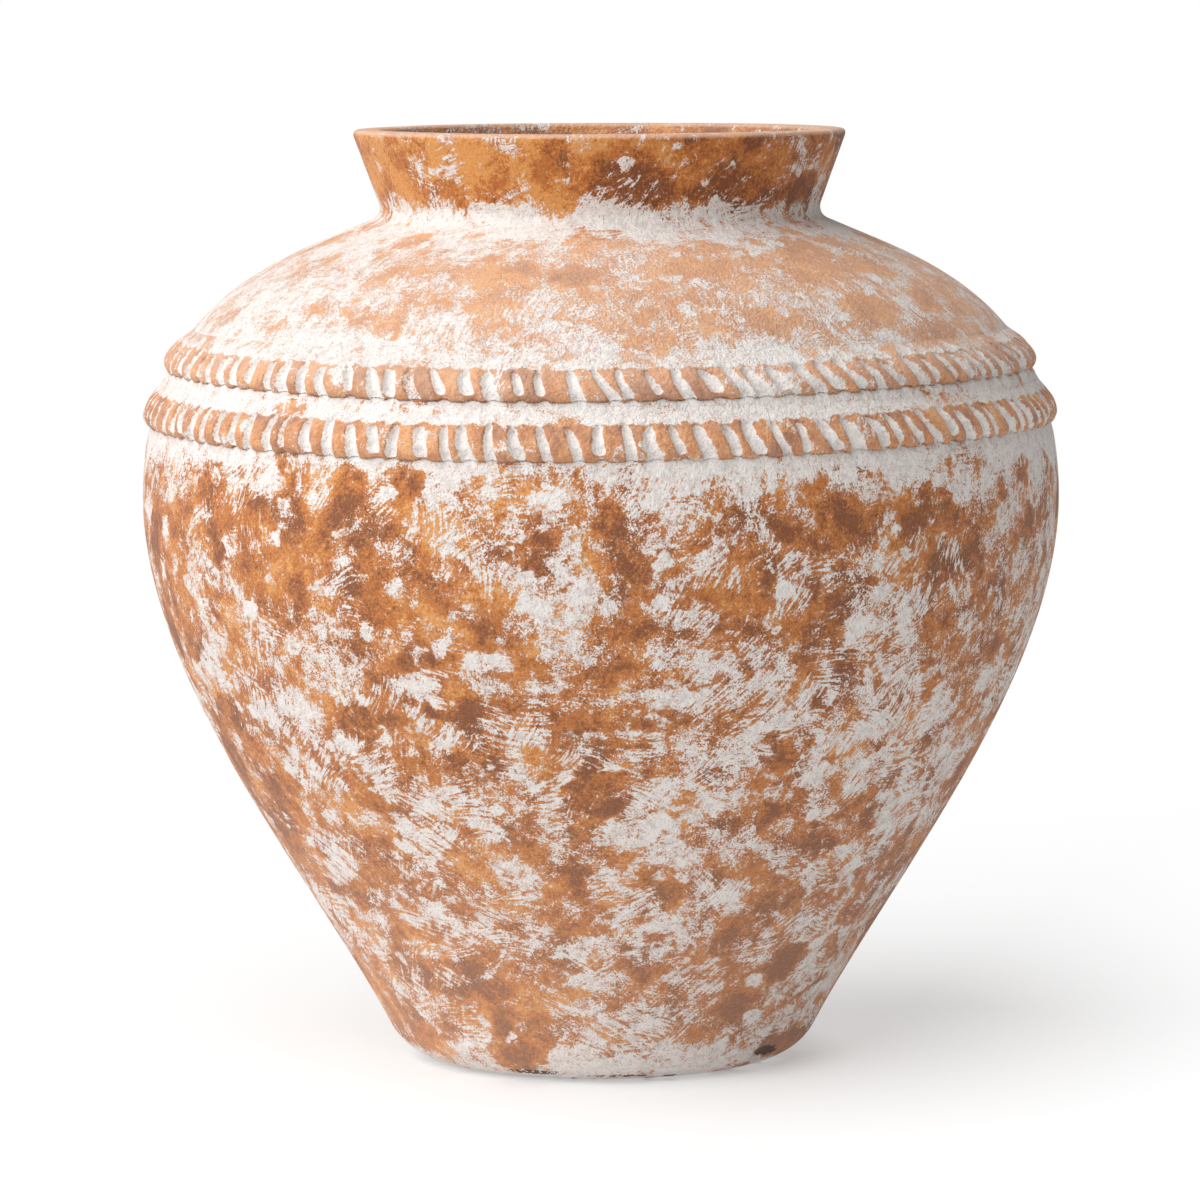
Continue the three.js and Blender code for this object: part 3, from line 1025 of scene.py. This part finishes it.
limewash = limewash_group()
wall_material = clay_material(
    "limewashed wall", Cover=wall_cover, Veil=body_veil, Tone=wall_side_shade, Stain=foot_chips_and_shade
)
shoulder_material = clay_material(
    "limewashed shoulder", Cover=shoulder_cover, Dabs=0.65, Veil=body_veil, Tone=-0.05
)
neck_material = clay_material(
    "limewashed neck", Cover=neck_cover, Veil=neck_veil, Tone=neck_patches_and_shading
)
rope_material = clay_material(
    "limewashed rope", Cover=rope_cover, Veil=rope_veil, Tone=-0.04, Stain=rope_shade_and_grime
)
inside_material = clay_material("clay inside", Cover=-0.45, Dabs=0.6, Veil=0.3)

turned_piece(
    "jar_floor", "floor_disc", floor_faces(), wall_material, inside_material
)
turned_piece(
    "jar_corner_coil",
    "floor_corner_coil",
    corner_coil_faces(),
    inside_material,
    inside_material,
)
turned_piece(
    "jar_lower_wall", "lower_wall", lower_wall_faces(), wall_material, inside_material
)
turned_piece(
    "jar_middle_wall",
    "middle_wall",
    wall_section_faces(lower_seam, belly_seam),
    wall_material,
    inside_material,
)
turned_piece(
    "jar_belly_wall",
    "belly_wall",
    wall_section_faces(belly_seam, shoulder_seam),
    wall_material,
    inside_material,
)
turned_piece(
    "jar_shoulder",
    "shoulder",
    wall_section_faces(shoulder_seam, neck_seam),
    shoulder_material,
    inside_material,
)
turned_piece(
    "jar_neck", "neck", neck_faces(), neck_material, inside_material
)
rope_piece(
    "jar_lower_rope",
    "lower_rope",
    seats[0],
    LOWER_ROPE_BAND,
    LOWER_NOTCH_LEAN,
    rope_material,
    LOWER_ROPE_SEED,
)
rope_piece(
    "jar_upper_rope",
    "upper_rope",
    seats[1],
    UPPER_ROPE_BAND,
    UPPER_NOTCH_LEAN,
    rope_material,
    UPPER_ROPE_SEED,
)


# Floor, light and camera

FLOOR_HALF = 6
FLOOR_ALBEDO = 0.9
FLOOR_GLOW = 0.5  # share of plain white in the floor by the jar, as the camera alone sees it
FAR_FLOOR_GLOW = 0.86  # the same where the shadow ends
SHADOW_NEAR = 0.12  # between these distances to the jar's right the shadow fades
SHADOW_FAR = 0.34
SHADOW_TURN = 0.3  # how much further out it fades, for each metre behind the jar
CONTACT_SHADE = 0.22  # less of the white right beside the foot
CONTACT_NEAR = 0.08
CONTACT_FAR = 0.13
FLOOR_WHITE = 1.08  # strength of that white
FLOOR_BOUNCE = 0.25  # share of plain white in the floor, as it lights the jar
AMBIENT = 0.155  # strength of the even light from all sides
KEY_STRENGTH = 3.76
KEY_FROM_LEFT = 57  # degrees to the left of the camera
KEY_HEIGHT = 47  # degrees above the floor
KEY_SOFTNESS = 80


def seen_directly(graph):
    """1 for what the camera sees, itself or in a gloss or through glass, and 0 for light."""
    path = graph.add("LightPath").outputs
    glossy = graph.math("MAXIMUM", path["Is Glossy Ray"], path["Is Transmission Ray"])
    return graph.math("MAXIMUM", path["Is Camera Ray"], glossy)


def add_floor():
    mesh = bpy.data.meshes.new("floor")
    ends = [(-1, -1), (1, -1), (1, 1), (-1, 1)]
    mesh.from_pydata([(x * FLOOR_HALF, y * FLOOR_HALF, 0) for x, y in ends], [], [(0, 1, 2, 3)])
    material = bpy.data.materials.new("white floor")
    material.use_nodes = True
    graph = Graph(material.node_tree)
    graph.tree.nodes.remove(graph.tree.nodes["Principled BSDF"])
    matt = graph.add("BsdfDiffuse", {"Color": (FLOOR_ALBEDO,) * 3 + (1,)})
    seen = seen_directly(graph)
    level = graph.straight(seen, 1, FLOOR_WHITE)
    place = graph.add("TexCoord").outputs["Object"]
    aside = graph.vector("DOT_PRODUCT", place, (1, -SHADOW_TURN, 0))
    fade = {0: aside, 1: SHADOW_NEAR, 2: SHADOW_FAR, 3: FLOOR_GLOW, 4: FAR_FLOOR_GLOW}
    away = graph.vector("LENGTH", place)
    contact = graph.step(away, CONTACT_NEAR, CONTACT_FAR, CONTACT_SHADE, 0)
    glowing = graph.math("SUBTRACT", graph.add("MapRange", fade).outputs[0], contact)
    share = graph.straight(seen, FLOOR_BOUNCE, glowing)
    glow = graph.add("Emission", {"Strength": level})
    both = graph.add("MixShader", {0: share, 1: matt.outputs[0], 2: glow.outputs[0]})
    graph.feed(graph.tree.nodes["Material Output"].inputs["Surface"], both.outputs[0])
    mesh.materials.append(material)
    floor = bpy.data.objects.new("floor", mesh)
    bpy.context.scene.collection.objects.link(floor)


def add_world():
    world = bpy.data.worlds.new("studio")
    world.use_nodes = True
    graph = Graph(world.node_tree)
    background = graph.tree.nodes["Background"]
    background.inputs["Color"].default_value = (1, 1, 1, 1)
    strength = graph.straight(seen_directly(graph), AMBIENT, 1)
    graph.feed(background.inputs["Strength"], strength)
    bpy.context.scene.world = world


def add_key_light():
    light = bpy.data.lights.new("key", "SUN")
    light.energy = KEY_STRENGTH
    light.angle = math.radians(KEY_SOFTNESS)
    lamp = bpy.data.objects.new("key", light)
    lamp.rotation_euler = (math.radians(90 - KEY_HEIGHT), 0, math.radians(-KEY_FROM_LEFT))
    bpy.context.scene.collection.objects.link(lamp)


def add_camera():
    data = bpy.data.cameras.new("camera")
    data.lens = CAMERA_LENS
    data.sensor_width = CAMERA_SENSOR
    camera = bpy.data.objects.new("camera", data)
    camera.location = (CAMERA_ASIDE, -CAMERA_DISTANCE, CAMERA_HEIGHT)
    tilt = Euler((math.radians(90 - CAMERA_PITCH), 0, 0)).to_matrix()
    roll = Matrix.Rotation(math.radians(CAMERA_ROLL), 3, "Z")
    camera.rotation_euler = (tilt @ roll).to_euler()
    bpy.context.scene.collection.objects.link(camera)
    bpy.context.scene.camera = camera


add_floor()
add_world()
add_key_light()
add_camera()
bpy.context.scene.view_settings.view_transform = "Standard"
